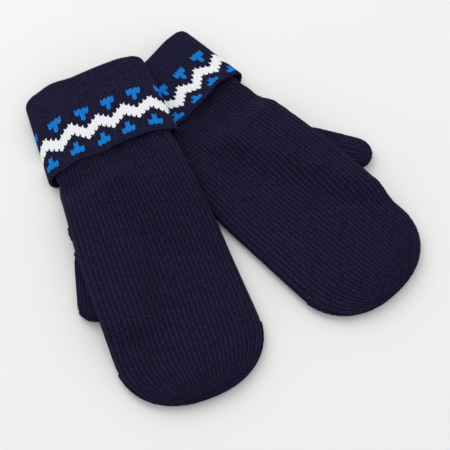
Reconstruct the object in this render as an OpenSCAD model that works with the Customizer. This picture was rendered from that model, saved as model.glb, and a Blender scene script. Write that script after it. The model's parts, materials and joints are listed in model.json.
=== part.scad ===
// A pair of knitted mittens with turned-back patterned cuffs, in millimetres.
// The pair lies palms down with the fingers to -Y and the left mitten on top of the right one at the cuffs.
// Each mitten is laid out in its own plane: s runs from the cuff's mouth to the finger tip,
// t runs across the hand (+X side positive), and z is the height above the table.

/* [Hand] */
// Length from the cuff's folded mouth to the finger tip
hand_length = 259; // [245:1:270]
// Half width of the hand across the palm
palm_half = 51; // [49:0.5:53]
// Half width of the wrist just past the cuff
wrist_half = 46; // [45:0.5:47]
// Length of the rounded finger tip
tip_length = 45; // [40:1:50]
// Thickness of one layer of knitting
knit = 2.2; // [2:0.1:2.4]
// Radius of the soft side edges
edge_radius = 5.2; // [5:0.1:6]
// How much the back of the hand puffs up in the middle
crown = 2; // [1:0.25:3]

/* [Cuff] */
// Half width of the turned-back cuff at its folded mouth
cuff_half = 46.6; // [45:0.2:48]
// Length of the left mitten's turned-back flap
left_flap = 70.5; // [66:0.5:74]
// Length of the right mitten's turned-back flap
right_flap = 60; // [57:0.5:64]
// How much wider the flap is at its free edge, on each side
flap_flare = 3; // [1:0.5:4]
// Half height of the wrist opening inside the cuff
mouth_half = 2.6; // [2.4:0.1:3]
// Width of the bound-off hem at the flap's free edge
hem_width = 2.2; // [1.5:0.1:3]

/* [Pattern] */
// Repeats of the pattern round the cuff, of six stitches each
repeats = 10; // [8:1:12]
// Knitted rows from the fold to the flap's free edge
flap_rows = 28; // [26:1:30]
// Row of the white zigzag's middle
zigzag_row = 18.5; // [18:0.5:19]
// Rows that the zigzag rises
zigzag_rise = 3; // [2:1:3]
// Rows across the zigzag band
zigzag_rows = 4; // [3:1:4]
// Row of the upper motifs' middle
upper_row = 13; // [12:0.5:13]
// Row of the lower motifs' middle
lower_row = 24; // [24:0.25:24.5]
// Rows in a motif's bar, and in its stem
bar_rows = 2; // [1:1:2]

/* [Thumb] */
// Distance of the thumb's pivot from the cuff's mouth
thumb_s = 115; // [112:1:118]
// Distance of the thumb's pivot from the middle of the hand
thumb_t = 34; // [33:0.25:34.5]
// Length of the thumb from its pivot to its tip
thumb_length = 68; // [62:1:70]
// Half width of the thumb
thumb_half = 13; // [12:0.25:13.5]
// Angle of the left thumb from the hand, in degrees
left_thumb_angle = 14; // [12:1:20]
// Angle of the right thumb from the hand, in degrees
right_thumb_angle = 29; // [22:1:32]

/* [Lay of the pair] */
// Angle of each mitten from the middle line, in degrees
splay = 11.1; // [8:0.1:14]
// Distance between the two mouths
mouth_gap = 46.5; // [42:0.5:54]
// How far the left mouth lies behind the right one
mouth_stagger = 6; // [0:0.5:10]

/* [Clearances] */
// Gap between pieces that slide or turn past each other
slide_gap = 0.3; // [0.25:0.05:0.4]
// Gap between the left mitten and the right one under it
lay_gap = 0.7; // [0.6:0.1:1.5]
// Height of the patterned skins above the flap
skin = 0.3; // [0.2:0.05:0.3]

/* [Hidden] */

LEFT = -1;
RIGHT = 1;
navy = "#1d1c30";
deep_navy = "#16152a";
azure = "#0a7fd6";
white_yarn = "#eceff3";

// Radii of the cuff's layers about its soft edge, from the inside out.
inner_in = mouth_half;
inner_out = inner_in + knit;
flap_in = inner_out + slide_gap;
flap_out = flap_in + knit;
cuff_core = cuff_half - flap_out;
skin_gap = 0.06;
table_gap = 0.1;
cuff_z = flap_out + skin + table_gap;
ring_steps = 6 * repeats;
cuff_girth = 4 * cuff_core + 2 * PI * flap_out;
fold_radius = (flap_out - inner_in) / 2;

// The hand starts just past the flap's free edge and widens from there.
wrist_past_flap = 2;
wrist_blend = 12;
edge_blend = 16;
settle_blend = 18;
crown_edge = 18;
crown_blend = 30;
palm_s = 159;
tip_s = hand_length - tip_length;
tip_power = 2.25;
tip_blunt = 6;
function flap_length(side) = side == LEFT ? left_flap : right_flap;
function wrist_s(side) = flap_length(side) + wrist_past_flap;

// Rows along the hand and columns across it, closer together at the edges.
hole_half = 8;
hole_inner_t = 25;
hole_outer_t = 44;
function hand_rows(side) = concat(
    [for (k = [0:3]) mix(wrist_s(side), thumb_s - 2 * hole_half, k / 4)],
    [for (k = [-2:2]) thumb_s + k * hole_half],
    [for (k = [1:5]) mix(thumb_s + 2 * hole_half, tip_s, k / 6)],
    [for (a = [0:15:90]) tip_s + tip_length * sin(a)]);
hand_columns = [for (a = [-90:15:90]) sin(a)];

// The palm is held up by the thumb that is tucked under it.
thumb_high = 9;
seam_proud = 0.2;
raise = thumb_high + seam_proud + slide_gap;
raise_ramp = 20;
gusset_radius = thumb_half + 2.4;
pass_half = thumb_half - 4;
tuck_angle = 5;
// The palm stays level this far past the gusset's rim, so that the rim meets it all round.
level_past_gusset = 7;
level_before_gusset = 1;

// The left mitten climbs over the right one's cuff.
lift = 2 * (flap_out + skin) + table_gap + lay_gap;
climb_from = -46;
climb_width = 36;
climb_drift = 0.55;
drift_from = wrist_s(LEFT);
// The left mitten is down on the table a little past where the two hands part in plan.
parted_s = (2 * palm_half / cos(splay) - mouth_gap) / (2 * sin(splay));
fall_from = parted_s - 60;
fall_to = parted_s + 25;

function smooth(x) = let (c = min(1, max(0, x))) c * c * (3 - 2 * c);
function mix(a, b, x) = a + (b - a) * x;

// Outline of the hand: its half width at s, inset from the outside by some margin.
function hand_half(side, s, inset) =
    let (x = max(0, (s - tip_s) / (tip_length - inset)),
        past = s - wrist_s(side),
        side_half = mix(mix(cuff_core + inner_out, wrist_half, smooth(past / wrist_blend)),
            palm_half, smooth(past / (palm_s - wrist_s(side)))) - inset)
    max(tip_blunt, side_half * pow(max(0, 1 - pow(min(x, 1), tip_power)), 1 / tip_power));

// How deep a point of the plan lies inside that outline. Near the tip's centre it is just deep.
function depth(side, s, t, inset) =
    let (ds = s - tip_s, a = tip_length - inset, b = palm_half - inset,
        rho = pow(pow(max(0, ds) / a, tip_power) + pow(abs(t) / b, tip_power), 1 / tip_power))
    s < tip_s ? hand_half(side, s, inset) - abs(t) :
    rho < 0.3 ? (1 - rho) * a : norm([ds, t]) * max(0, 1 - rho) / rho;

function edge_at(side, s) = mix(inner_out, edge_radius, smooth((s - wrist_s(side)) / edge_blend));
function round_edge(d, r) = let (c = min(r, max(0, d))) sqrt(max(0, r * r - (r - c) * (r - c)));

// Height that the tucked thumb gives the palm above it.
function thumb_raise(side, s, t) =
    let (a = (side == LEFT ? left_thumb_angle : right_thumb_angle) - tuck_angle,
        u = (side * t - thumb_t) * cos(a) - (s - thumb_s) * sin(a) + gusset_radius + level_past_gusset)
    raise * smooth(u / raise_ramp + 1)
    * smooth((s - thumb_s + gusset_radius + level_before_gusset + raise_ramp) / raise_ramp)
    * smooth((thumb_s + thumb_length + 1.5 * raise_ramp - s) / raise_ramp);

// Height that the right cuff gives the left mitten above it.
function pair_lift(side, s, t) =
    side == RIGHT ? 0 :
    lift * smooth((t - climb_from - max(0, s - drift_from) * climb_drift) / climb_width)
    * smooth((fall_to - s) / (fall_to - fall_from));

function middle_z(side, s, t) =
    mix(cuff_z, edge_radius, smooth((s - wrist_s(side)) / settle_blend))
    + thumb_raise(side, s, t) + pair_lift(side, s, t);

// Where the two mittens lie on the table, with the origin in the middle of the pair.
function yaw(side) = side * splay;
function lay(side, s, t) =
    [side * mouth_gap / 2 + s * sin(yaw(side)) + t * cos(yaw(side)),
     -side * mouth_stagger / 2 - s * cos(yaw(side)) + t * sin(yaw(side))];
function thumb_angle(side) = side == LEFT ? left_thumb_angle : right_thumb_angle;
function thumb_end(side) =
    let (reach = thumb_length - thumb_half)
    lay(side, thumb_s + reach * cos(thumb_angle(side)),
        side * (thumb_t + reach * sin(thumb_angle(side))));
reach_points = [for (side = [LEFT, RIGHT], k = [-1, 1])
    each concat([for (s = hand_rows(side)) lay(side, s, k * hand_half(side, s, 0))],
        [lay(side, 0, k * cuff_half), lay(side, flap_length(side), k * (cuff_half + flap_flare))],
        [thumb_end(side) + [k * thumb_half, 0], thumb_end(side) + [0, k * thumb_half]])];
centre = [for (i = [0, 1])
    (max([for (p = reach_points) p[i]]) + min([for (p = reach_points) p[i]])) / 2];
function place(side, s, t, z) = let (p = lay(side, s, t) - centre) [p.x, p.y, z];

// A closed sheet between two grids of points. Cells that are switched off leave a hole.
module sheet(outer, inner, cells, wrap = false) {
    rows = len(outer);
    cols = len(outer[0]);
    spans = wrap ? cols : cols - 1;
    function at(i, j) = i * cols + (j % cols);
    function on(i, j) =
        i >= 0 && i < rows - 1 && (wrap || (j >= 0 && j < spans)) && cells[i][(j + spans) % spans];
    in = rows * cols;
    polyhedron(
        points = [for (grid = [outer, inner], row = grid, p = row) p],
        faces = [for (i = [0:rows - 2], j = [0:spans - 1]) if (on(i, j))
            each let (a = at(i, j), b = at(i, j + 1), c = at(i + 1, j + 1), d = at(i + 1, j))
            concat([[a, b, c], [a, c, d], [in + a, in + c, in + b], [in + a, in + d, in + c]],
                on(i - 1, j) ? [] : [[a, in + b, b], [a, in + a, in + b]],
                on(i + 1, j) ? [] : [[c, in + d, d], [c, in + c, in + d]],
                on(i, j - 1) ? [] : [[d, in + a, a], [d, in + d, in + a]],
                on(i, j + 1) ? [] : [[b, in + c, c], [b, in + b, in + c]])]);
}
function all_on(rows, cols) = [for (i = [1:rows]) [for (j = [1:cols]) true]];

// Half of the hand: top is 1 for the back and -1 for the palm.
function hand_point(side, row, column, inset, top) =
    let (last = row > tip_s ? (hand_length - inset - tip_s) / tip_length : 1,
        s = row > tip_s ? tip_s + (row - tip_s) * last : row,
        t = column * hand_half(side, s, inset),
        d = row >= hand_length - 0.01 || abs(column) > 0.999 ? 0 : depth(side, s, t, inset),
        puff = top > 0 ? crown * smooth(d / crown_edge) * smooth((s - wrist_s(side)) / crown_blend) : 0)
    place(side, s, t, middle_z(side, s, t) + top * (round_edge(d, edge_at(side, s) - inset) + puff));
function hand_grid(side, inset, top) =
    [for (row = hand_rows(side)) [for (c = hand_columns) hand_point(side, row, c, inset, top)]];

module hand_half_shell(side, top, cells) {
    grids = [hand_grid(side, 0, top), hand_grid(side, knit, top)];
    sheet(top > 0 ? grids[0] : grids[1], top > 0 ? grids[1] : grids[0], cells);
}
module back_panel(side) color(navy)
    hand_half_shell(side, 1, all_on(len(hand_rows(side)) - 1, len(hand_columns) - 1));
module palm_panel(side) color(navy)
    hand_half_shell(side, -1, let (rows = hand_rows(side)) [for (i = [0:len(rows) - 2])
        [for (j = [0:len(hand_columns) - 2])
            let (s = (rows[i] + rows[i + 1]) / 2,
                t = side * (hand_columns[j] + hand_columns[j + 1]) / 2 * palm_half)
            !(abs(s - thumb_s) < hole_half && t > hole_inner_t && t < hole_outer_t)]]);

// Seam that closes the finger tip: a wedge that widens outwards from the hand's edge.
seam_proud_tip = 1.3;
seam_tall = 1.2;
seam_root = 0.05;
function seam_row(side, path, out, high) = [for (p = path)
    let (v = [p.x - tip_s + 4, p.y * 1.1], q = p + out * v / norm(v))
    place(side, q.x, q.y, middle_z(side, p.x, p.y) + high)];
module tip_seam(side) color(deep_navy) {
    bend = [for (row = hand_rows(side)) if (row >= tip_s) row];
    path = concat([for (s = bend) [s, -hand_half(side, s, 0)]],
        [for (i = [len(bend) - 1:-1:0]) [bend[i], hand_half(side, bend[i], 0)]]);
    sheet([seam_row(side, path, 0, seam_root), seam_row(side, path, seam_proud_tip, seam_tall)],
        [seam_row(side, path, 0, -seam_root), seam_row(side, path, seam_proud_tip, -seam_tall)],
        all_on(1, len(path) - 1));
}

// Point on the cuff: turn runs once round it, r is the radius of the soft edge.
function cuff_point(side, turn, s, r, flare = 0) =
    let (round = 2 * PI * flap_out, flat = 2 * cuff_core, all = round + 2 * flat,
        w = ((turn % 1) + 1) % 1 * all,
        q = w < flat ? [w - cuff_core, 90, 1] :
            w < flat + round / 2 ? [cuff_core, 90 - (w - flat) / round * 360, 1] :
            w < 2 * flat + round / 2 ? [cuff_core - (w - flat - round / 2), -90, 1] :
            [-cuff_core, -90 - (w - 2 * flat - round / 2) / round * 360, 1],
        stretch = 1 + flare / cuff_half,
        t = (q[0] + r * cos(q[1])) * stretch)
    place(side, s, t, cuff_z + r * sin(q[1]) + pair_lift(side, s, t));
function cuff_ring(side, s, r, flare = 0) =
    [for (k = [0:ring_steps - 1]) cuff_point(side, k / ring_steps, s, r, flare)];
function flare_at(side, s) = flap_flare * max(0, (s - fold_radius) / flap_length(side));

// A tube of knitting from a list of [s, radius] pairs on each face.
module cuff_tube(side, outer, inner)
    sheet([for (p = inner) cuff_ring(side, p[0], p[1], p[2])],
        [for (p = outer) cuff_ring(side, p[0], p[1], p[2])],
        all_on(len(outer) - 1, ring_steps), wrap = true);

module cuff_inner(side) color(navy)
    cuff_tube(side,
        [[fold_radius + slide_gap, inner_out, 0], [wrist_s(side), inner_out, 0]],
        [[fold_radius + slide_gap, inner_in, 0], [wrist_s(side), inner_in, 0]]);
flap_spans = 6;
module cuff_flap(side) color(navy) {
    hem_s = flap_length(side) - hem_width;
    mid = (flap_out + inner_in) / 2;
    straight = [for (k = [flap_spans:-1:1]) mix(fold_radius, hem_s, k / flap_spans)];
    // The fold turns through half a circle; its inside face stops short of the inner cuff.
    fold = [for (a = [0:45:180]) [fold_radius * (1 - sin(a)), mid + fold_radius * cos(a), 0]];
    stop = [for (k = [0:4]) [fold_radius, mix(flap_in, inner_in + slide_gap, k / 4), 0]];
    cuff_tube(side,
        concat([for (s = straight) [s, flap_out, flare_at(side, s)]], fold),
        concat([for (s = straight) [s, flap_in, flare_at(side, s)]], stop));
}
module cuff_hem(side) color(deep_navy) {
    rows = [flap_length(side) - hem_width, flap_length(side)];
    cuff_tube(side,
        [for (s = rows) [s, flap_out, flare_at(side, s)]],
        [for (s = rows) [s, flap_in, flare_at(side, s)]]);
}

// Point on the outside of the flap, just clear of it, counted in stitches round it and rows
// from the fold. Between two stitches it lies on the straight line that the flap's face makes.
function skin_ring(side, stitch, row, high) =
    let (s = row * flap_length(side) / flap_rows)
    cuff_point(side, stitch / ring_steps, s, flap_out + skin_gap + high, flare_at(side, s));
function skin_point(side, stitch, row, high) =
    let (k = floor(stitch), a = skin_ring(side, k, row, high))
    stitch == k ? a : a + (skin_ring(side, k + 1, row, high) - a) * (stitch - k);
skin_high = skin - skin_gap;

// The zigzag peaks towards the fold at every sixth stitch and dips halfway between.
function wave(stitch) = let (x = (stitch % 6) / 6) 1 - abs(2 * x - 1) * 2;
function zigzag_edge(side, edge, high) = [for (k = [0:ring_steps - 1])
    skin_point(side, k, zigzag_row + (wave(k) * zigzag_rise + edge * zigzag_rows) / 2, high)];
module zigzag_band(side) color(white_yarn)
    sheet([for (edge = [1, -1]) zigzag_edge(side, edge, 0)],
        [for (edge = [1, -1]) zigzag_edge(side, edge, skin_high)],
        all_on(1, ring_steps), wrap = true);

// A T with a bar of three stitches and a stem of one, its bar away from the zigzag.
// up is 1 when the bar is towards the free edge.
motif_cells = [[false, false, true, true, false, false], [true, true, true, true, true, true]];
function motif_grid(side, stitch, row, up, high) = [for (i = [0:2]) [for (j = [-3:3])
    skin_point(side, stitch + j / 2 + ring_steps, row + up * (i - 1) * bar_rows, high)]];
module motif(side, stitch, row, up)
    sheet(motif_grid(side, stitch, row, up, up > 0 ? skin_high : 0),
        motif_grid(side, stitch, row, up, up > 0 ? 0 : skin_high), motif_cells);
module upper_motifs(side) color(azure)
    for (k = [0:repeats - 1]) motif(side, 6 * k + 3, upper_row, -1);
module lower_motifs(side) color(azure)
    for (k = [0:repeats - 1]) motif(side, 6 * k, lower_row, 1);

// The thumb is drawn along -Y from its pivot and then laid beside the palm.
module at_thumb(side) {
    p = lay(side, thumb_s, side * thumb_t) - centre;
    translate([p.x, p.y, 0]) rotate(yaw(side)) children();
}
module soft_disc(radius, edge, low) translate([0, 0, low + edge])
    rotate_extrude($fn = 32) hull() {
        translate([radius - edge, 0]) circle(r = edge, $fn = 16);
        translate([0, -edge]) square([0.1, 2 * edge]);
    }
module thumb_solid(inset, extra = 0) hull() {
    edge = thumb_high / 2 - inset + extra;
    low = inset;
    translate([0, -gusset_radius / 2, 0]) soft_half(thumb_half - inset + extra, edge, low);
    translate([0, -(thumb_length - thumb_half), 0]) soft_half(thumb_half - inset + extra, edge, low);
}
module soft_half(radius, edge, low) intersection() {
    soft_disc(radius, edge, low);
    translate([-50, -50, 0]) cube([100, 100, 50]);
}
module thumb_shell(extra = 0) difference() {
    thumb_solid(0, extra);
    thumb_solid(knit);
}
module root_cut(radius) translate([0, 0, -1]) cylinder(r = radius, h = thumb_high + 3, $fn = 64);
seam_from = gusset_radius + slide_gap;
seam_to = seam_from + 2.5;
module thumb(side) color(navy)
    at_thumb(side) rotate(side * thumb_angle(side)) difference() {
        thumb_shell();
        root_cut(seam_to);
    }
module thumb_seam(side) color(deep_navy)
    at_thumb(side) rotate(side * thumb_angle(side)) intersection() {
        difference() {
            thumb_shell(seam_proud / 2);
            root_cut(seam_from);
        }
        root_cut(seam_to);
    }
module thumb_tip_seam(side) color(deep_navy)
    at_thumb(side) rotate(side * thumb_angle(side))
        translate([0, -(thumb_length - thumb_half), thumb_high / 2 - 0.9]) intersection() {
            difference() {
                cylinder(r = thumb_half + 0.8, h = 1.8, $fn = 64);
                translate([0, 0, -1]) cylinder(r = thumb_half, h = 4, $fn = 64);
            }
            translate([-20, -24, -1]) cube([40, 20, 4]);
        }

// Round pocket that joins the palm's thumb hole to the thumb.
module thumb_gusset(side) color(navy)
    at_thumb(side) difference() {
        cylinder(r = gusset_radius, h = raise, $fn = 64);
        translate([0, 0, knit]) cylinder(r = gusset_radius - knit, h = raise, $fn = 64);
        rotate(side * thumb_angle(side)) translate([-pass_half, -gusset_radius - 1, knit])
            cube([2 * pass_half, gusset_radius, thumb_high - 2 * knit]);
    }

back_panel(RIGHT);  // right_back_panel
palm_panel(RIGHT);  // right_palm_panel
tip_seam(RIGHT);  // right_tip_seam
thumb_gusset(RIGHT);  // right_thumb_gusset
thumb(RIGHT);  // right_thumb
thumb_seam(RIGHT);  // right_thumb_seam
thumb_tip_seam(RIGHT);  // right_thumb_tip_seam
cuff_inner(RIGHT);  // right_cuff_inner
cuff_flap(RIGHT);  // right_cuff_flap
cuff_hem(RIGHT);  // right_cuff_hem
zigzag_band(RIGHT);  // right_zigzag_band
upper_motifs(RIGHT);  // right_upper_motifs
lower_motifs(RIGHT);  // right_lower_motifs
back_panel(LEFT);  // left_back_panel
palm_panel(LEFT);  // left_palm_panel
tip_seam(LEFT);  // left_tip_seam
thumb_gusset(LEFT);  // left_thumb_gusset
thumb(LEFT);  // left_thumb
thumb_seam(LEFT);  // left_thumb_seam
thumb_tip_seam(LEFT);  // left_thumb_tip_seam
cuff_inner(LEFT);  // left_cuff_inner
cuff_flap(LEFT);  // left_cuff_flap
cuff_hem(LEFT);  // left_cuff_hem
zigzag_band(LEFT);  // left_zigzag_band
upper_motifs(LEFT);  // left_upper_motifs
lower_motifs(LEFT);  // left_lower_motifs
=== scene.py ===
import json
import math
import bmesh
import bpy
import numpy as np
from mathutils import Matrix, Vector


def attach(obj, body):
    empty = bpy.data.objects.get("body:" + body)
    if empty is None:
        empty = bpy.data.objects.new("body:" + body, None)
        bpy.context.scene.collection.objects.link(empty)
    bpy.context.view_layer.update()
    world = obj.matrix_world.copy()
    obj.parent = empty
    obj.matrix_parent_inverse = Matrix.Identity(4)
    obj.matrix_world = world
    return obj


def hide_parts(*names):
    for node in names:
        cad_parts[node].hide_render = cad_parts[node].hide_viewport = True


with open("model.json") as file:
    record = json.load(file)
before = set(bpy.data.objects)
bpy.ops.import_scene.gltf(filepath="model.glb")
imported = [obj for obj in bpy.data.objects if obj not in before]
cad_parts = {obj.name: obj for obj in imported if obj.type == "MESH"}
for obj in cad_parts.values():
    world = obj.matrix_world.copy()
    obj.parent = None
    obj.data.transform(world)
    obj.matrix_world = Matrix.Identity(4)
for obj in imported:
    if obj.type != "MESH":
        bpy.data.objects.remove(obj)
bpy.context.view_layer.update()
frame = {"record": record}  # a pair of knitted mittens on a table, the left one's cuff on top of the right one's
record = frame["record"]
mm = 0.001


def smooth(x):
    c = np.clip(x, 0, 1)
    return c * c * (3 - 2 * c)


def mix(a, b, x):
    return a + (b - a) * x


# where each mitten lies: s runs along a mitten from its mouth to its tip, t across it, all in mm
mounts = {m["name"]: m for m in record["mounts"]}
joints = {j["name"]: j for j in record["behaviour"]["joints"]}


def readSide(name, sign, flap, angle):
    # flap is how deep the turned-back layer is in mm, and angle how far the thumb points out in degrees
    mouth, axis = mounts[name + "_wrist"]["pos_m"], mounts[name + "_wrist"]["axis"]
    pivot = joints[name + "_thumb_swing"]["pos_m"]
    return dict(name=name, sign=sign, mouth=np.array(mouth) / mm, yaw=math.atan2(-axis[0], axis[1]),
                pivot=np.array(pivot) / mm, flap=flap, wristS=flap + 2, thumbTurn=math.radians(angle))


right = readSide("right", 1, 60, 29)
left = readSide("left", -1, 70.5, 14)
sides = [right, left]

# Sizes in mm. tip is how long the rounded end is and power how square it is; palmS is where the palm is
# widest, edge the radius of the side folds, and crown how far the back swells.
hand = dict(length=259, palmHalf=51, wristHalf=46, tip=45, edge=5.2, crown=2.0, palmS=159, power=2.25,
            knit=2.2)
# the cuff's layers lie at these distances from its middle plane, which is at height midZ
cuff = dict(half=46.6, flare=3, innerIn=2.6, innerOut=4.8, flapIn=5.1, flapOut=7.3, midZ=7.7,
            corner=2.8, cornerS=5)
# the thumb starts s along and t across the palm, and the palm is raised by lift over it
thumb = dict(s=115, t=34, length=68, half=13, high=9, lift=9.5, ramp=20, reach=15.4)
# the left mitten climbs over the right one's cuff, and comes down to the table between the two falls
climb = dict(lift=16.0, start=-46, width=36, drift=0.55, fallFrom=89, fallTo=174.2)
coreHalf = cuff["half"] - cuff["flapOut"]
foldRadius = (cuff["flapOut"] - cuff["innerIn"]) / 2
tipS = hand["length"] - hand["tip"]


def lay(side, s, t, z):
    # plan place s along and t across a mitten, at height z, to the frame in metres
    c, n = math.cos(side["yaw"]), math.sin(side["yaw"])
    x = side["mouth"][0] + s * n + t * c
    y = side["mouth"][1] - s * c + t * n
    return np.stack(np.broadcast_arrays(x, y, z), -1) * mm


def handHalf(side, s):
    past = s - side["wristS"]
    wide = mix(mix(coreHalf + cuff["innerOut"], hand["wristHalf"], smooth(past / 12)),
               hand["palmHalf"], smooth(past / (hand["palmS"] - side["wristS"])))
    x = np.clip((s - tipS) / hand["tip"], 0, 1)
    return wide * (1 - x ** hand["power"]) ** (1 / hand["power"])


def edgeRadius(side, s):
    return mix(cuff["innerOut"], hand["edge"], smooth((s - side["wristS"]) / 16))


def depth(side, s, t):
    ds, p = np.maximum(0, s - tipS), hand["power"]
    rho = ((ds / hand["tip"]) ** p + (np.abs(t) / hand["palmHalf"]) ** p) ** (1 / p)
    inTip = np.where(rho < 0.3, 30, np.hypot(ds, t) * np.maximum(0, 1 - rho) / np.maximum(rho, 0.3))
    return np.where(s < tipS, handHalf(side, s) - np.abs(t), inTip)


def thumbRaise(side, s, t):
    a, ramp = side["thumbTurn"] - math.radians(5), thumb["ramp"]
    u = (side["sign"] * t - thumb["t"]) * math.cos(a) - (s - thumb["s"]) * math.sin(a) + thumb["reach"] + 7
    start = smooth((s - thumb["s"] + thumb["reach"] + 1 + ramp) / ramp)
    end = smooth((thumb["s"] + thumb["length"] + 1.5 * ramp - s) / ramp)
    return thumb["lift"] * smooth(u / ramp + 1) * start * end


def pairLift(side, s, t):
    if side is right:
        return 0 * t
    pastWrist = np.maximum(0, s - left["wristS"])
    across = smooth((t - climb["start"] - pastWrist * climb["drift"]) / climb["width"])
    return climb["lift"] * across * smooth((climb["fallTo"] - s) / (climb["fallTo"] - climb["fallFrom"]))


def middleZ(side, s, t):
    z = mix(cuff["midZ"], hand["edge"], smooth((s - side["wristS"]) / 18))
    return z + thumbRaise(side, s, t) + pairLift(side, s, t)


def ripple(side, s, t, size):
    # slow waves that soft knitting lies in, from a few sines with set phases
    k = 1.0 if side is right else 2.3
    wave = (np.sin(s / 23 + 0.7 * k + t / 61) * np.sin(t / 19 - 1.1 * k + s / 47)
            + 0.6 * np.sin(s / 13 - t / 29 + 2.1 * k) + 0.5 * np.sin(t / 11 + s / 31 + k))
    return size * wave / 2.1


def linear(hexColour):
    out = []
    for i in (1, 3, 5):
        c = int(hexColour[i:i + 2], 16) / 255
        out.append(c / 12.92 if c <= 0.04045 else ((c + 0.055) / 1.055) ** 2.4)
    return (*out, 1.0)


def addNode(tree, kind, settings, inputs):
    # adds a node; an input is a value, a socket, or a node whose first output is linked
    node = tree.nodes.new(kind)
    for key, value in settings.items():
        setattr(node, key, value)
    for key, value in (inputs.items() if isinstance(inputs, dict) else enumerate(inputs)):
        if isinstance(value, bpy.types.Node):
            value = value.outputs[0]
        if isinstance(value, bpy.types.NodeSocket):
            tree.links.new(value, node.inputs[key])
        else:
            node.inputs[key].default_value = value
    return node


def spunYarn(name, look):
    material = bpy.data.materials.new(name)
    material.use_nodes = True
    tree = material.node_tree
    tree.nodes.clear()
    place = addNode(tree, "ShaderNodeTexCoord", {}, []).outputs["Object"]
    relief = addNode(tree, "ShaderNodeAttribute", {"attribute_name": "relief"}, []).outputs["Fac"]
    # the stitch height picks the colour: low places get the darker groove colour, which is painted shade, and
    # the crests get the yarn's own colour
    ramp = addNode(tree, "ShaderNodeValToRGB", {}, [relief])
    ramp.color_ramp.elements[0].color = linear(look["grooveShade"])
    ramp.color_ramp.elements[1].color = linear(look["crest"])
    ramp.color_ramp.elements[1].position = 0.9
    patches = addNode(tree, "ShaderNodeTexNoise", {},
                      {"Vector": place, "Scale": 1 / (look["patchSize"] * mm), "Detail": 3.0})
    heather = addNode(tree, "ShaderNodeTexNoise", {},
                      {"Vector": place, "Scale": 1 / (look["heatherSize"] * mm), "Detail": 2.0})
    tone = addNode(tree, "ShaderNodeMath", {"operation": "MULTIPLY_ADD"},
                   [patches, look["patch"], 1 - look["patch"] / 2])
    fleck = addNode(tree, "ShaderNodeMath", {"operation": "MULTIPLY_ADD"},
                    [heather, look["heather"], 1 - look["heather"] / 2])
    both = addNode(tree, "ShaderNodeMath", {"operation": "MULTIPLY"}, [tone, fleck])
    shade = addNode(tree, "ShaderNodeVectorMath", {"operation": "SCALE"},
                    {0: ramp, "Scale": both.outputs[0]})
    fibres = addNode(tree, "ShaderNodeTexNoise", {},
                     {"Vector": place, "Scale": 1 / (look["fibreSize"] * mm), "Detail": 4.0,
                      "Roughness": 0.7})
    bump = addNode(tree, "ShaderNodeBump", {},
                   {"Height": fibres, "Strength": look["fibre"], "Distance": 0.3 * mm})
    shader = addNode(tree, "ShaderNodeBsdfPrincipled", {}, {
        "Base Color": shade, "Roughness": 0.92, "Specular IOR Level": look["specular"],
        "Sheen Weight": look["sheen"], "Sheen Roughness": 0.5, "Sheen Tint": linear(look["sheenTint"]),
        "Normal": bump})
    addNode(tree, "ShaderNodeOutputMaterial", {}, [shader])
    return material


# Spun acrylic, matt and a little fuzzy: shade is painted into the grooves between stitches, so each look's
# groove colour is painted shade and its crest colour is the yarn's own; loose fibres catch a bluish light at the
# edges, and the dye takes unevenly.
# Sizes are in mm. A ply is about 0.7 mm thick,
# and the heather is drawn a little coarser so that it shows.
navyLook = dict(grooveShade="#0e0d20", crest="#24213f", patch=0.3, patchSize=26.316, heather=3.4,
                heatherSize=1.1628, fibre=0.8, fibreSize=0.58824, specular=0.12, sheen=0.07,
                sheenTint="#5d68b0")
navyRib = spunYarn("navyAcrylicRib", navyLook)
navyStocking = spunYarn("navyAcrylicStocking", dict(navyLook, crest="#252242"))
navyChain = spunYarn("navyAcrylicChain", dict(navyLook, grooveShade="#0f0e22", crest="#1c1a38"))
azureYarn = spunYarn("azureAcrylic", dict(navyLook, grooveShade="#075cb2", crest="#1793ea", patch=0.1,
                                          heather=0.7, sheenTint="#7fb8e8", sheen=0.08))
whiteYarn = spunYarn("whiteAcrylic", dict(navyLook, grooveShade="#e6e9f0", crest="#fdfdfe", patch=0.04,
                                          heather=0.1, sheenTint="#ffffff", sheen=0.03))
print("yarns spun")


def gridQuads(rows, cols, start, box, flip=False):
    i, j = np.meshgrid(np.arange(rows - 1), np.arange(cols - 1), indexing="ij")
    corners = [(i, j), (i, j + 1), (i + 1, j + 1), (i + 1, j)]
    if flip:
        corners = corners[::-1]
    quads = np.stack([start + a * cols + b for a, b in corners], -1).reshape(-1, 4)
    uv = np.stack([np.stack([mix(box[0], box[1], b / (cols - 1)), mix(box[2], box[3], a / (rows - 1))], -1)
                   for a, b in corners], -2).reshape(-1, 4, 2)
    return quads, uv


def zipStrip(a, b, uLow, uHigh):
    # triangles between two chains of points with different counts
    tris, uv, i, j = [], [], 0, 0
    n, m = len(a) - 1, len(b) - 1
    while i < n or j < m:
        here, there = 0.01 + 0.98 * i / n, 0.01 + 0.98 * j / m
        if j == m or (i < n and (i + 1) / n <= (j + 1) / m):
            tris.append((a[i], a[i + 1], b[j]))
            uv.append(((uLow, here), (uLow, 0.01 + 0.98 * (i + 1) / n), (uHigh, there)))
            i += 1
        else:
            tris.append((a[i], b[j + 1], b[j]))
            uv.append(((uLow, here), (uHigh, 0.01 + 0.98 * (j + 1) / m), (uHigh, there)))
            j += 1
    return np.array(tris), np.array(uv)


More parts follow.
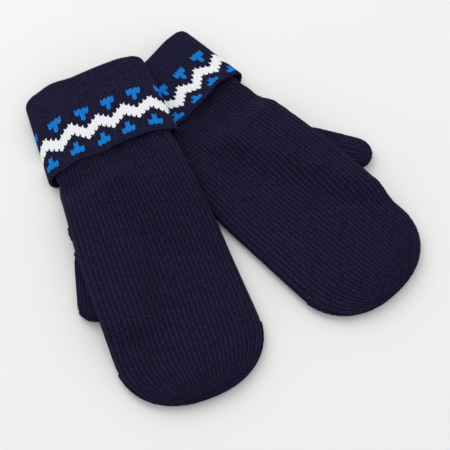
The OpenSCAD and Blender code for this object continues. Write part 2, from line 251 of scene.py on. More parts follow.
def meshFrom(name, points, faces, attributes):
    # a mesh object from points and (corner numbers, corner map places) pairs
    mesh = bpy.data.meshes.new(name)
    counts = np.concatenate([np.full(len(f), f.shape[1]) for f, uv in faces])
    loops = np.concatenate([f.reshape(-1) for f, uv in faces])
    mesh.vertices.add(len(points))
    mesh.vertices.foreach_set("co", np.asarray(points, np.float32).reshape(-1))
    mesh.loops.add(len(loops))
    mesh.loops.foreach_set("vertex_index", loops.astype(np.int32))
    mesh.polygons.add(len(counts))
    mesh.polygons.foreach_set("loop_start", np.concatenate([[0], np.cumsum(counts)[:-1]]).astype(np.int32))
    mesh.update(calc_edges=True)
    layer = mesh.uv_layers.new(name="OFBake")
    layer.data.foreach_set("uv", np.concatenate([uv.reshape(-1) for f, uv in faces]).astype(np.float32))
    for key, values in attributes.items():
        mesh.attributes.new(key, "FLOAT", "POINT").data.foreach_set("value", np.asarray(values, np.float32))
    mesh.polygons.foreach_set("use_smooth", np.ones(len(counts), bool))
    obj = bpy.data.objects.new(name, mesh)
    bpy.context.scene.collection.objects.link(obj)
    return obj


def weld(obj):
    # joins the points where a tube's first and last columns meet, and at its poles
    bm = bmesh.new()
    bm.from_mesh(obj.data)
    bmesh.ops.remove_doubles(bm, verts=bm.verts, dist=2e-6)
    bm.to_mesh(obj.data)
    bm.free()


def sheetShell(name, outer, inner, wale, course, tube=False, flip=False):
    # a closed sheet: a fine outer grid with its stitch places, a coarse inner grid, and the edges
    rows, cols = outer.shape[:2]
    few = inner.shape[0]
    points = np.concatenate([outer.reshape(-1, 3), inner.reshape(-1, 3)])
    start = rows * cols
    faces = [gridQuads(rows, cols, 0, (0.01, 0.93, 0.01, 0.85), flip),
             gridQuads(few, cols, start, (0.01, 0.93, 0.88, 0.97), not flip)]
    u = mix(0.01, 0.93, np.arange(cols) / (cols - 1))
    for row, other, low in ((0, 0, 0.975), (rows - 1, few - 1, 0.855)):
        a = row * cols + np.arange(cols)
        b = start + other * cols + np.arange(cols)
        quads = np.stack([a[:-1], b[:-1], b[1:], a[1:]], -1)
        lows, highs = np.full(cols - 1, low), np.full(cols - 1, low + 0.015)
        corners = ((u[:-1], lows), (u[:-1], highs), (u[1:], highs), (u[1:], lows))
        uv = np.stack([np.stack(corner, -1) for corner in corners], -2)
        if (row == 0) == flip:
            quads, uv = quads[:, ::-1], uv[:, ::-1]
        faces.append((quads, uv))
    if not tube:
        for col, low in ((0, 0.945), (cols - 1, 0.97)):
            outside, inside = np.arange(rows) * cols + col, start + np.arange(few) * cols + col
            tris, uv = zipStrip(outside, inside, low, low + 0.02)
            if (col == 0) == flip:
                tris, uv = tris[:, ::-1], uv[:, ::-1]
            faces.append((tris, uv))
    zero = np.zeros(few * cols)
    obj = meshFrom(name, points, faces, {"wale": np.concatenate([wale.reshape(-1), zero]),
                                         "course": np.concatenate([course.reshape(-1), zero]),
                                         "shown": np.concatenate([np.ones(start), zero])})
    if tube:
        weld(obj)
    return obj


legRound, loopRound = 0.7, 1.2  # how full a stitch is across its legs and along its loop


def reliefTree(name, ribbed):
    # raises each stitch from its wale and course number, and keeps the height, which the yarn's colour ramp
    # turns into painted shade in the grooves
    tree = bpy.data.node_groups.new(name, "GeometryNodeTree")
    tree.interface.new_socket("Knitting", in_out="INPUT", socket_type="NodeSocketGeometry")
    for label in ("Stitch Height", "Loop Share", "Slant", "Unevenness"):
        tree.interface.new_socket(label, in_out="INPUT", socket_type="NodeSocketFloat")
    tree.interface.new_socket("Yarn", in_out="INPUT", socket_type="NodeSocketMaterial")
    tree.interface.new_socket("Knitting", in_out="OUTPUT", socket_type="NodeSocketGeometry")
    given = addNode(tree, "NodeGroupInput", {}, []).outputs
    field, op = "GeometryNodeInputNamedAttribute", "ShaderNodeMath"
    wale = addNode(tree, field, {"data_type": "FLOAT"}, {"Name": "wale"})
    course = addNode(tree, field, {"data_type": "FLOAT"}, {"Name": "course"})
    shown = addNode(tree, field, {"data_type": "FLOAT"}, {"Name": "shown"})
    nearest = addNode(tree, op, {"operation": "ROUND"}, [wale])
    away = addNode(tree, op, {"operation": "SUBTRACT"}, [wale, nearest])
    fold = addNode(tree, op, {"operation": "ABSOLUTE"}, [away])
    turn = addNode(tree, op, {"operation": "MULTIPLY"}, [fold, 2 * math.pi])
    slanted = addNode(tree, op, {"operation": "MULTIPLY_ADD"}, [fold, given["Slant"], course])
    phase = addNode(tree, op, {"operation": "MULTIPLY"}, [slanted, math.pi])
    beat = addNode(tree, op, {"operation": "ABSOLUTE"}, [addNode(tree, op, {"operation": "SINE"}, [phase])])
    loop = addNode(tree, op, {"operation": "POWER"}, [beat, loopRound])
    swing = addNode(tree, op, {"operation": "COSINE" if ribbed else "SINE"}, [turn])
    if ribbed:  # a knit wale stands up, and the purl wale between two of them sinks back
        crest = addNode(tree, op, {"operation": "MULTIPLY_ADD"}, [swing, 0.5, 0.5])
        leg = addNode(tree, op, {"operation": "POWER"}, [crest, 0.75])
    else:  # the two legs of a V, with a groove between them and one at each side
        side = addNode(tree, op, {"operation": "ABSOLUTE"}, [swing])
        leg = addNode(tree, op, {"operation": "POWER"}, [side, legRound])
    kept = addNode(tree, op, {"operation": "SUBTRACT"}, [1.0, given["Loop Share"]])
    wave = addNode(tree, op, {"operation": "MULTIPLY_ADD"}, [loop, given["Loop Share"], kept])
    full = addNode(tree, op, {"operation": "MULTIPLY"}, [leg, wave])
    row = addNode(tree, op, {"operation": "FLOOR"}, [slanted])
    cell = addNode(tree, "ShaderNodeCombineXYZ", {}, [nearest, row])
    noise = addNode(tree, "ShaderNodeTexNoise", {}, {"Vector": cell, "Scale": 0.37, "Detail": 2.0})
    odd = addNode(tree, op, {"operation": "SUBTRACT"}, [noise, 0.5])
    uneven = addNode(tree, op, {"operation": "MULTIPLY_ADD"}, [odd, given["Unevenness"], 1.0])
    bulk = addNode(tree, op, {"operation": "MULTIPLY"}, [full, uneven])
    height = addNode(tree, op, {"operation": "MULTIPLY"}, [bulk, shown])
    rise = addNode(tree, op, {"operation": "MULTIPLY"}, [height, given["Stitch Height"]])
    normal = addNode(tree, "GeometryNodeInputNormal", {}, [])
    offset = addNode(tree, "ShaderNodeVectorMath", {"operation": "SCALE"},
                     {0: normal, "Scale": rise.outputs[0]})
    moved = addNode(tree, "GeometryNodeSetPosition", {}, {"Geometry": given["Knitting"], "Offset": offset})
    stored = addNode(tree, "GeometryNodeStoreNamedAttribute", {"data_type": "FLOAT", "domain": "POINT"},
                     {"Geometry": moved, "Name": "relief", "Value": height})
    real = addNode(tree, "GeometryNodeRealizeInstances", {}, [stored])
    dressed = addNode(tree, "GeometryNodeSetMaterial", {}, {"Geometry": real, "Material": given["Yarn"]})
    addNode(tree, "NodeGroupOutput", {}, [dressed])
    return tree


def chainTree():
    # loops of yarn, one after another along a line: hems and seams
    tree = bpy.data.node_groups.new("seamLoops", "GeometryNodeTree")
    tree.interface.new_socket("Line", in_out="INPUT", socket_type="NodeSocketGeometry")
    for label in ("Loop Spacing", "Loop Length", "Loop Width", "Loop Height", "Unevenness"):
        tree.interface.new_socket(label, in_out="INPUT", socket_type="NodeSocketFloat")
    tree.interface.new_socket("Yarn", in_out="INPUT", socket_type="NodeSocketMaterial")
    tree.interface.new_socket("Loops", in_out="OUTPUT", socket_type="NodeSocketGeometry")
    given = addNode(tree, "NodeGroupInput", {}, []).outputs
    curve = addNode(tree, "GeometryNodeMeshToCurve", {}, [given["Line"]])
    spots = addNode(tree, "GeometryNodeResampleCurve", {"mode": "LENGTH"},
                    {"Curve": curve, "Length": given["Loop Spacing"]})
    along = addNode(tree, "GeometryNodeInputTangent", {}, [])
    turned = addNode(tree, "FunctionNodeAlignRotationToVector", {"axis": "X"}, {"Vector": along})
    bead = addNode(tree, "GeometryNodeMeshUVSphere", {}, {"Segments": 8, "Rings": 6, "Radius": 0.5})
    size = addNode(tree, "ShaderNodeCombineXYZ", {},
                   [given["Loop Length"], given["Loop Width"], given["Loop Height"]])
    odd = addNode(tree, "FunctionNodeRandomValue", {"data_type": "FLOAT"}, {"Seed": 7})
    scaled = addNode(tree, "ShaderNodeMath", {"operation": "MULTIPLY_ADD"},
                     [odd.outputs[1], given["Unevenness"], 1.0])
    grown = addNode(tree, "ShaderNodeVectorMath", {"operation": "SCALE"},
                    {0: size, "Scale": scaled.outputs[0]})
    placed = addNode(tree, "GeometryNodeInstanceOnPoints", {},
                     {"Points": spots, "Instance": bead, "Rotation": turned, "Scale": grown})
    real = addNode(tree, "GeometryNodeRealizeInstances", {}, [placed])
    soft = addNode(tree, "GeometryNodeSetShadeSmooth", {}, [real])
    # a set height, so every loop takes one colour from the yarn's ramp, with a little of the painted groove
    # shade mixed in
    stored = addNode(tree, "GeometryNodeStoreNamedAttribute", {"data_type": "FLOAT", "domain": "POINT"},
                     {"Geometry": soft, "Name": "relief", "Value": 0.8})
    again = addNode(tree, "GeometryNodeRealizeInstances", {}, [stored])
    dressed = addNode(tree, "GeometryNodeSetMaterial", {}, {"Geometry": again, "Material": given["Yarn"]})
    addNode(tree, "NodeGroupOutput", {}, [dressed])
    return tree


ribTree = reliefTree("ribRelief", True)
stitchTree = reliefTree("stitchRelief", False)
loopTree = chainTree()


def makeReal(obj, tree, settings):
    # runs a tree on an object and keeps the plain mesh that it gives
    modifier = obj.modifiers.new("nodes", "NODES")
    modifier.node_group = tree
    for item in tree.interface.items_tree:
        if item.in_out == "INPUT" and item.name in settings:
            modifier[item.identifier] = settings[item.name]
    graph = bpy.context.evaluated_depsgraph_get()
    mesh = bpy.data.meshes.new_from_object(obj.evaluated_get(graph), preserve_all_data_layers=True,
                                           depsgraph=graph)
    obj.modifiers.clear()
    old = obj.data
    obj.data = mesh
    bpy.data.meshes.remove(old)
    mesh.name = obj.name
    return obj


def settle(piece, body, node):
    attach(piece, body)
    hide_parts(node)


# one loop's spacing along its seam, and its length, width and height, in mm
seams = dict(tip=(1.9, 2.4, 1.5, 1.7), bound=(2.6, 3.3, 2.0, 2.4), thumb=(2.2, 2.6, 2.2, 1.6),
             thumbTip=(1.9, 2.3, 1.6, 2.2))


def loopRow(name, points, size, body, node, closed=False):
    # a row of loops along points in metres
    count = len(points)
    edges = [(k, k + 1) for k in range(count - 1)] + ([(count - 1, 0)] if closed else [])
    mesh = bpy.data.meshes.new(name)
    mesh.from_pydata([tuple(p) for p in points], edges, [])
    obj = bpy.data.objects.new(name, mesh)
    bpy.context.scene.collection.objects.link(obj)
    labels = ("Loop Spacing", "Loop Length", "Loop Width", "Loop Height")
    settings = {label: value * mm for label, value in zip(labels, size)}
    makeReal(obj, loopTree, dict(settings, **{"Unevenness": 0.25, "Yarn": navyChain}))
    settle(obj, body, node)
    return obj


ribKnit = {"Stitch Height": 0.75 * mm, "Loop Share": 0.85, "Slant": -1.3, "Unevenness": 1.8,
           "Yarn": navyRib}
plainKnit = {"Stitch Height": 0.5 * mm, "Loop Share": 0.9, "Slant": -1.4, "Unevenness": 0.4,
             "Yarn": navyStocking}

# how far the ribs drift across the hand on their way to the tip
ribDrift = {"left": ([68, 85, 125, 150, 185, 214, 259], [-1.8, -1, 1.6, 2.4, 1.6, 0.4, -0.6]),
            "right": ([58, 85, 125, 155, 185, 214, 259], [-3, -2, 0.2, 0.5, 2.1, 2.7, 3.2])}
ribs = dict(perSide=33, columns=6, course=2.1, rows=4, sink=0.55, palmRoom=0.65, tuck=4, innerStep=5)


def handGrid(side, top, inset, fine):
    # half of the hand: columns follow the ribs over the flat part and round the side fold
    step = ribs["course"] / ribs["rows"] if fine else ribs["innerStep"]
    turn = np.radians(np.linspace(0, 88.5, 76 if fine else 14))
    flat = np.arange(side["wristS"] - ribs["tuck"], tipS, step)
    s = np.concatenate([flat, tipS + hand["tip"] * np.sin(turn)])[:, None]
    u = np.linspace(-1, 1, ribs["perSide"] * ribs["columns"] + 1)[None, :]
    half = handHalf(side, s)
    r = np.minimum(edgeRadius(side, s), half * 0.98)
    reach = half - r + math.pi / 2 * r
    squeeze = mix(0.06, -0.03, smooth((s - 85) / 85))
    knots, drift = ribDrift[side["name"]]
    drifted = np.interp(s, knots, drift) * (1 - u * u) * np.minimum(1, half / 16)
    q = reach * (u * (1 - squeeze) + squeeze * u * np.abs(u)) + drifted
    wale = u * ribs["perSide"] / 2
    bend = np.clip((np.abs(q) - (half - r)) / r, 0, math.pi / 2)
    t = np.sign(q) * np.where(np.abs(q) <= half - r, np.abs(q), half - r + r * np.sin(bend))
    s2 = s + 0 * t
    d = np.maximum(depth(side, s2, t), 0)
    rise = edgeRadius(side, s) - inset - (ribs["palmRoom"] if fine and top < 0 else 0)
    c = np.minimum(rise, np.maximum(0, d - inset))
    height = np.sqrt(np.maximum(0, rise * rise - (rise - c) ** 2))
    height = np.where(np.abs(u) > 0.9999, 0, height)
    puff = 0
    if top > 0:
        wide = smooth(d / 18) * smooth((s2 - side["wristS"]) / 30)
        puff = (hand["crown"] + ripple(side, s2, t, 0.9)) * wide
    z = middleZ(side, s2, t) + top * (height + puff)
    if top < 0:
        z = np.maximum(z, inset + 0.55)
    return lay(side, s2, t * (1 - inset / np.maximum(half, 8)), z), wale + 0 * s, s2 / ribs["course"]


def makeHand(side):
    name = side["name"]
    for top, label in ((1, "back"), (-1, "palm")):
        outer, wale, course = handGrid(side, top, ribs["sink"], True)
        inner = handGrid(side, top, hand["knit"], False)[0]
        piece = sheetShell(f"{name}{label.title()}Ribbing", outer, inner, wale, course, flip=top > 0)
        makeReal(piece, ribTree, ribKnit)
        settle(piece, name + "_mitten", f"{name}_{label}_panel")
    turn = np.radians(np.linspace(12, 88, 60))
    s = tipS + hand["tip"] * np.sin(turn)
    half = handHalf(side, s)
    edge = np.concatenate([np.stack([s, -half], -1), np.stack([s, half], -1)[::-1]])
    out = np.stack([edge[:, 0] - tipS + 4, edge[:, 1] * 1.1], -1)
    edge = edge - 0.4 * out / np.linalg.norm(out, axis=1)[:, None]
    line = lay(side, edge[:, 0], edge[:, 1], middleZ(side, edge[:, 0], edge[:, 1]) - 0.3)
    loopRow(name + "TipSeam", line, seams["tip"], name + "_mitten", name + "_tip_seam")
    print(name, "hand ribbed")


# The chart has six stitches to a repeat: a white zigzag four rows deep, and blue T shapes above and below.
chart = dict(stitches=60, rows=28, zigzagTop=15, zigzagDeep=4, upperBar=11, upperStem=13, lowerStem=22,
             lowerBar=24, columns=6, perRow=4, point=0.7, lieRow=13)
# How each cuff lies: where its rows and its mouth's line are in mm, which stitch is on top in the middle
# and how it moves from row to row, stitches per mm there, and how far the free edge stands up.
cuffLay = {
    "left": dict(rowAt=([0, 11, 15, 18, 22, 26, 28], [0, 30.6, 40.3, 47.3, 56.7, 65.8, 70.5]),
                 mouthAt=([-52, -40, -26, -12, 1, 15, 29, 43, 52],
                          [-3.1, -3.1, -2.9, 2.4, 0.6, -0.9, -1.7, 0.7, 2]),
                 middle=(12.87, 0.068), pitch=(0.3125, 0.0021), kick=2.2),
    "right": dict(rowAt=([0, 11, 15, 18, 22, 26, 28], [0, 25.7, 35, 41.8, 50.6, 57, 59.4]),
                  mouthAt=([-52, -10, 4.6, 15, 28, 40, 52], [0, 1.5, 1, -0.9, -3.2, -3.0, -2]),
                  middle=(11.44, -0.044), pitch=(0.3097, 0.0021), kick=5),
}
girth = 4 * coreHalf + 2 * math.pi * cuff["flapOut"]


def ringPlace(side, a, s, r, flare):
    # a cuff point: a runs once round the cuff in mm from the middle of its top, r is the edge's radius
    core, arc = coreHalf, math.pi * cuff["flapOut"]
    b = (a + girth / 2) % girth - girth / 2
    k, sign = np.abs(b), np.sign(b)
    over = np.clip((k - core) / arc, 0, 1) * math.pi
    q = np.where(k < core, k, np.where(k < core + arc, core, np.maximum(0, 2 * core + arc - k)))
    narrow = cuff["corner"] * (1 - np.sqrt(1 - np.clip(1 - s / cuff["cornerS"], 0, 1) ** 2 * 0.98))
    stretch = (1 + flare / cuff["half"]) * (1 - narrow / cuff["half"])
    t = sign * (q + r * np.sin(over)) * stretch
    top = r * np.cos(over)
    z = cuff["midZ"] + top + pairLift(side, s, t)
    return s, t, z


def cuffWave(side, t, upper):
    # how far the mouth's line wanders, fading to nothing on the side that lies down
    knots, offs = cuffLay[side["name"]]["mouthAt"]
    fine = np.linspace(knots[0], knots[-1], 200)
    soft = np.convolve(np.pad(np.interp(fine, knots, offs), 8, "edge"), np.ones(17) / 17, "valid")
    return np.interp(t, fine, soft) * upper


def flapPlace(side, stitch, row):
    # where a stitch of the chart lies: how far round the cuff, how far along it, and how far it flares
    lie = cuffLay[side["name"]]
    rise = lie["pitch"][0] + (row - chart["lieRow"]) * lie["pitch"][1]
    middle = lie["middle"][0] + (row - chart["lieRow"]) * lie["middle"][1]
    half = girth / 2
    curve = (rise * half - chart["stitches"] / 2) / half ** 2
    n = stitch - middle
    n = (n + chart["stitches"] / 2) % chart["stitches"] - chart["stitches"] / 2
    k = np.abs(n)
    a = np.sign(n) * 2 * k / (rise + np.sqrt(np.maximum(rise * rise - 4 * curve * k, 1e-9)))
    s = np.interp(row, *lie["rowAt"])
    flare = cuff["flare"] * np.maximum(0, (s - foldRadius) / side["flap"])
    return a, s, flare


def cuffXyz(side, a, s, r, flare, kick=0.0):
    # kick lifts the upper side of the free edge, most of all in its middle
    s0, t, z = ringPlace(side, a, s, r, flare)
    b = np.abs((a + girth / 2) % girth - girth / 2)
    upper = 1 - smooth((b - coreHalf) / (math.pi * cuff["flapOut"]))
    z = z + kick * upper * smooth((t + 14) / 18) * smooth((46 - t) / 20)
    z = z + upper * smooth((s + 2) / 20) * ripple(side, s * 1.3, t * 1.2, 0.7)
    return lay(side, s0 + cuffWave(side, t, upper), t, z)


def chartColour(stitch, row):
    # 0 navy, 1 white, 2 blue above the zigzag, 3 blue below it
    k = stitch % 6
    step = np.abs((k + 3) % 6 - 3)  # 0 at a peak, 3 at a dip
    top = chart["zigzagTop"] + step
    white = (row >= top) & (row < top + chart["zigzagDeep"])
    bar = (row >= chart["upperBar"]) & (row < chart["upperStem"]) & (np.abs(k - 3) <= 1)
    stem = (row >= chart["upperStem"]) & (row < chart["upperStem"] + 2) & (k == 3)
    lowStem = (row >= chart["lowerStem"]) & (row < chart["lowerBar"]) & (k == 0)
    lowBar = (row >= chart["lowerBar"]) & (row < chart["lowerBar"] + 2) & ((k <= 1) | (k == 5))
    return np.where(white, 1, np.where(bar | stem, 2, np.where(lowStem | lowBar, 3, 0)))


skin = dict(above=0.16, below=0.2)  # how far the coloured yarn reaches above and below the flap's face


def skinPiece(name, grid, height, pick, yarn, body, node):
    # a closed thin skin over the picked cells of a grid of points: the coloured stitches
    rows, cols = grid.shape[:2]
    du = np.roll(grid, -1, 1) - np.roll(grid, 1, 1)
    dv = np.gradient(grid, axis=0)
    normal = np.cross(du, dv)
    normal /= np.maximum(np.linalg.norm(normal, axis=2, keepdims=True), 1e-12)
    above, below = grid + normal * skin["above"] * mm, grid - normal * skin["below"] * mm
    points = np.concatenate([above.reshape(-1, 3), below.reshape(-1, 3)])
    i, j = np.nonzero(pick)
    start = rows * cols
    here, there = i * cols, (i + 1) * cols
    quad = np.stack([here + j, here + (j + 1) % cols, there + (j + 1) % cols, there + j], -1)
    u = np.stack([j, j + 1, j + 1, j], -1) / cols * 0.48
    v = np.stack([i, i, i + 1, i + 1], -1) / rows * 0.86
    faces = [(quad, np.stack([u, v], -1) + 0.005),
             (quad[:, ::-1] + start, np.stack([u + 0.5, v], -1)[:, ::-1] + 0.005)]
    walls = []
    for (di, dj), (m, n) in (((-1, 0), (1, 0)), ((1, 0), (3, 2)), ((0, -1), (0, 3)), ((0, 1), (2, 1))):
        ni, nj = i + di, (j + dj) % cols
        border = (ni < 0) | (ni >= rows - 1) | ~pick[np.clip(ni, 0, rows - 2), nj]
        a, b = quad[border, m], quad[border, n]
        walls.append(np.stack([a, b, b + start, a + start], -1))
    walls = np.concatenate(walls)
    number = np.arange(len(walls))
    cell = np.stack([number % 300 / 300, 0.89 + number // 300 * 0.004], -1)[:, None, :]
    faces.append((walls, cell + np.array([[0, 0], [0.0025, 0], [0.0025, 0.003], [0, 0.003]])))
    used, back = np.unique(np.concatenate([f.reshape(-1) for f, uv in faces]), return_inverse=True)
    cutAt = np.cumsum([f.size for f, uv in faces])[:-1]
    faces = [(part.reshape(-1, 4), uv) for part, (f, uv) in zip(np.split(back, cutAt), faces)]
    # the stitch height again, so the white and blue yarn get the same painted shade in their grooves
    relief = np.tile(height.reshape(-1), 2)[used]
    obj = meshFrom(name, points[used], faces, {"relief": relief})
    obj.data.materials.append(yarn)
    settle(obj, body, node)
    return obj


def makeCuff(side):
    name = side["name"]
    standing = cuffLay[name]["kick"]
    cols = chart["stitches"] * chart["columns"] + 1
    stitch = np.linspace(0, chart["stitches"], cols)[None, :]
    x = np.abs(stitch % 1 - 0.5)
    row = np.arange(chart["perRow"], chart["rows"] * chart["perRow"] + 1)[::-1, None] / chart["perRow"]
    fade = smooth((row - 2) / 3) * smooth((27.5 - row) / 2)
    v = row + chart["point"] * (0.5 - 2 * x) * fade
    base = cuff["flapOut"] - 0.25
    a, s, flare = flapPlace(side, stitch, v)
    kick = standing * smooth((v - 17) / 11)
    outer = cuffXyz(side, a, s, base, flare, kick)
    turn = np.radians(np.linspace(0, 180, 13))[1:, None]
    mid, bend = (base + cuff["innerIn"]) / 2, (base - cuff["innerIn"]) / 2
    a0, s0 = flapPlace(side, stitch, 1.0 + 0 * stitch)[:2]
    edge = s0 * (1 - np.sin(turn))
    fold = cuffXyz(side, a0 + 0 * turn, edge, mid + bend * np.cos(turn), 0 * edge)
    outer = np.concatenate([outer, fold])
    course = np.concatenate([v, 1 - 3 * np.degrees(turn) / 180 + 0 * stitch])
    few = np.linspace(chart["rows"], 1, 15)[:, None]
    a, s, flare = flapPlace(side, stitch, few)
    inner = cuffXyz(side, a, s, cuff["flapIn"], flare, standing * smooth((few - 17) / 11))
    lip = cuffXyz(side, a0, s0, cuff["innerIn"] + 0.25 + 0 * a0, 0 * a0)
    inner = np.concatenate([inner, lip])
    wale = stitch + 0 * course
    piece = sheetShell(name + "FlapKnitting", outer, inner, wale, course, tube=True)
    makeReal(piece, stitchTree, plainKnit)
    settle(piece, name + "_cuff", name + "_cuff_flap")
    # the coloured stitches follow the flap's own relief
    stitchNumber = np.arange(cols - 1) // chart["columns"]
    rowNumber = (row[1:, 0] + 1e-6).astype(int)
    colour = chartColour(stitchNumber[None, :], rowNumber[:, None])
    leg = np.abs(np.sin(2 * math.pi * (stitch % 1))) ** legRound
    slanted = v + plainKnit["Slant"] * np.minimum(stitch % 1, 1 - stitch % 1)
    loop = np.abs(np.sin(math.pi * slanted)) ** loopRound
    height = leg * (1 - plainKnit["Loop Share"] + plainKnit["Loop Share"] * loop)
    grid = outer[:len(row)]
    du, dv = np.gradient(grid, axis=1), np.gradient(grid, axis=0)
    normal = np.cross(du, dv)
    normal /= np.linalg.norm(normal, axis=2, keepdims=True)
    grid = (grid + normal * (height * plainKnit["Stitch Height"])[:, :, None])[:, :-1]
    pieces = (("Zigzag", 1, whiteYarn, "zigzag_band", "white_yarn"),
              ("UpperTees", 2, azureYarn, "upper_motifs", "azure_yarn"),
              ("LowerTees", 3, azureYarn, "lower_motifs", "azure_yarn"))
    for label, number, yarn, node, slot in pieces:
        skinPiece(name + label, grid, height[:, :-1], colour == number, yarn, name + "_cuff",
                  f"{name}_{node}")
    # bound-off edge, a little short of the last row
    spots = np.linspace(0, chart["stitches"], 181)[:-1]
    a, s, flare = flapPlace(side, spots, np.full(180, chart["rows"] - 0.3))
    line = cuffXyz(side, a, s, (cuff["flapIn"] + cuff["flapOut"]) / 2, flare, standing)
    loopRow(name + "BoundEdge", line, seams["bound"], name + "_cuff", name + "_cuff_hem", closed=True)
    # the layer next to the wrist
    a = np.linspace(-girth / 2, girth / 2, chart["stitches"] * 4 + 1)[None, :]
    s = np.arange(foldRadius + 0.3, side["wristS"], 1.2)[::-1, None]
    outer = cuffXyz(side, a, s + 0 * a, cuff["innerOut"] - 0.35, 0 * a)
    few = np.linspace(side["wristS"], foldRadius + 0.3, 12)[:, None]
    inner = cuffXyz(side, a, few + 0 * a, cuff["innerIn"] + 0.1, 0 * a)
    wale = a / girth * chart["stitches"] + 0 * s
    piece = sheetShell(name + "InnerCuff", outer, inner, wale, s / 2.4 + 0 * a, tube=True)
    makeReal(piece, ribTree, dict(ribKnit, **{"Stitch Height": 0.35 * mm}))
    settle(piece, name + "_mitten", name + "_cuff_inner")
    print(name, "cuff knitted")


# ribs round a thumb, and the place along it where its knitting starts
thumbKnit = dict(ribs=26, columns=6, course=1.95, start=10.0)


def thumbPlace(side, d, w, z):
    # d runs from the pivot to the thumb's tip, w across it
    turn = side["sign"] * side["thumbTurn"] + side["yaw"]
    x = side["pivot"][0] + d * math.sin(turn) + w * math.cos(turn)
    y = side["pivot"][1] - d * math.cos(turn) + w * math.sin(turn)
    return np.stack(np.broadcast_arrays(x, y, z), -1) * mm


def makeThumb(side):
    name = side["name"]
    half, high, length = thumb["half"], thumb["high"] / 2, thumb["length"]
    bend = length - half
    a = np.linspace(0, 2 * math.pi, thumbKnit["ribs"] * thumbKnit["columns"] + 1)[None, :]

    def tubeAt(d, inset):
        out = np.clip((d - bend) / half, 0, 1)
        wide = (half - inset) * np.sqrt(np.maximum(0, 1 - out ** 2)) * mix(0.86, 1, smooth((d - 12) / 14))
        down = np.clip((d - bend - half + high) / high, 0, 1)
        tall = (high - inset) * np.sqrt(np.maximum(0, 1 - down ** 2))
        w = wide * np.sign(np.cos(a)) * np.abs(np.cos(a)) ** 0.8
        z = high + 0.35 + tall * np.sign(np.sin(a)) * np.abs(np.sin(a)) ** 0.72
        return thumbPlace(side, d + 0 * a, w, z)

    turn = np.radians(np.linspace(0, 90, 34))
    d = np.concatenate([np.arange(thumbKnit["start"], bend, 0.65), bend + half * np.sin(turn)])[:, None]
    few = np.linspace(thumbKnit["start"], bend, 9)[:-1]
    few = np.concatenate([few, bend + (half - 1.8) * np.sin(turn[::4])])
    few = np.append(few, bend + half - 1.8)[:, None]
    outer, inner = tubeAt(d, 0.5), tubeAt(np.minimum(few, length - 1.8), 2.0)
    inner[-1] = thumbPlace(side, length - 2.0, 0 * a, high + 0 * a)[0]
    piece = sheetShell(name + "ThumbRibbing", outer, inner, a / (2 * math.pi) * thumbKnit["ribs"] + 0 * d,
                       d / thumbKnit["course"] + 0 * a, tube=True)
    makeReal(piece, ribTree, dict(ribKnit, **{"Stitch Height": 0.6 * mm}))
    settle(piece, name + "_thumb", name + "_thumb")
    ring = np.linspace(0, 2 * math.pi, 49)[:-1]
    wide, tall = half * 0.9 + 0.2, high - 0.4
    w = wide * np.sign(np.cos(ring)) * np.abs(np.cos(ring)) ** 0.8
    z = high + tall * np.sign(np.sin(ring)) * np.abs(np.sin(ring)) ** 0.72
    line = thumbPlace(side, thumb["reach"] + 1.5 + 0 * w, w, np.maximum(z, 1.3))
    loopRow(name + "ThumbSeam", line, seams["thumb"], name + "_thumb", name + "_thumb_seam", closed=True)
    sweep = np.radians(np.linspace(-62, 62, 24))
    end = half + 0.05
    line = thumbPlace(side, bend + end * np.cos(sweep), end * np.sin(sweep), high + 0 * sweep)
    loopRow(name + "ThumbTipSeam", line, seams["thumbTip"], name + "_thumb", name + "_thumb_tip_seam")
    # the gusset is a soft round pocket between the palm and the thumb
    b = np.linspace(0, 2 * math.pi, 24 * 6 + 1)[None, :]

    def pocket(inset, steps):
        k = np.linspace(0, 1, steps)[:, None]
        angle = k * math.pi / 2
        radius = (thumb["reach"] - inset) * np.sin(angle) ** 0.6
        z = inset + 0.2 + (thumb["lift"] - inset) * (1 - np.cos(angle)) ** 1.4
        x = side["pivot"][0] + radius * np.cos(b)
        y = side["pivot"][1] + radius * np.sin(b)
        return np.stack(np.broadcast_arrays(x, y, z), -1) * mm, k

    outer, k = pocket(0.5, 40)
    inner = pocket(2.2, 10)[0]
    wale = b / (2 * math.pi) * 24 + 0 * k
    piece = sheetShell(name + "ThumbGusset", outer, inner, wale, k * 10 + 0 * b, tube=True)
    makeReal(piece, ribTree, dict(ribKnit, **{"Stitch Height": 0.5 * mm}))
    settle(piece, name + "_mitten", name + "_thumb_gusset")
    print(name, "thumb made")


for side in sides:
    makeHand(side)
    makeCuff(side)
    makeThumb(side)

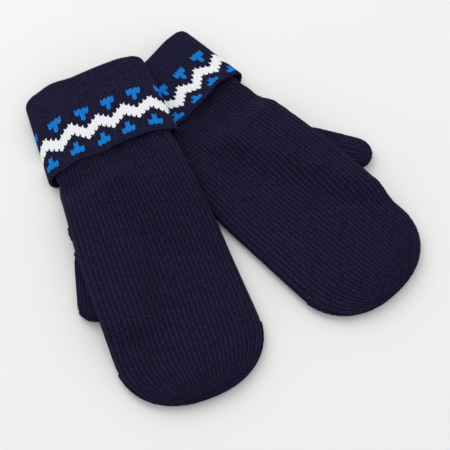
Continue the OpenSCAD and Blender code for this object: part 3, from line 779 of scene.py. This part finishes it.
view = dict(azimuth=-33, elevation=61.87, distance=708.5, lens=80.07, aim=(-1.36, -24.81, 0))
a, e = math.radians(view["azimuth"]), math.radians(view["elevation"])
back = np.array([math.sin(a) * math.cos(e), -math.cos(a) * math.cos(e), math.sin(e)])
cameraData = bpy.data.cameras.new("camera")
cameraData.lens, cameraData.sensor_width = view["lens"], 36
cameraData.clip_start, cameraData.clip_end = 0.01, 20
camera = bpy.data.objects.new("camera", cameraData)
bpy.context.scene.collection.objects.link(camera)
camera.location = (np.array(view["aim"]) + view["distance"] * back) * mm
camera.rotation_euler = Vector(-back).to_track_quat("-Z", "Y").to_euler()
bpy.context.scene.camera = camera

lamps = {"softboxBack": dict(size=1.3, power=7.4, place=(-0.06, 1.1, 1.2)),
         "softboxFront": dict(size=1.0, power=1, place=(0.2, -1, 1.4))}
for name, lamp in lamps.items():
    lampData = bpy.data.lights.new(name, "AREA")
    lampData.shape, lampData.size, lampData.energy = "DISK", lamp["size"], lamp["power"]
    lampObject = bpy.data.objects.new(name, lampData)
    bpy.context.scene.collection.objects.link(lampObject)
    lampObject.location = lamp["place"]
    lampObject.rotation_euler = (-Vector(lamp["place"])).to_track_quat("-Z", "Y").to_euler()

floorMesh = bpy.data.meshes.new("floor")
floorMesh.from_pydata([(-3, -3, 0), (3, -3, 0), (3, 3, 0), (-3, 3, 0)], [], [(0, 1, 2, 3)])
floor = bpy.data.objects.new("floor", floorMesh)
bpy.context.scene.collection.objects.link(floor)
paper = bpy.data.materials.new("paleBackgroundPaper")
paper.use_nodes = True
paper.node_tree.nodes["Principled BSDF"].inputs["Base Color"].default_value = linear("#f4f4f3")
paper.node_tree.nodes["Principled BSDF"].inputs["Roughness"].default_value = 0.9
floorMesh.materials.append(paper)

world = bpy.data.worlds.new("studio")
world.use_nodes = True
world.node_tree.nodes["Background"].inputs[0].default_value = (1, 1, 1, 1)
world.node_tree.nodes["Background"].inputs[1].default_value = 0.78
bpy.context.scene.world = world
bpy.context.scene.view_settings.view_transform = "Standard"
print("stage set")
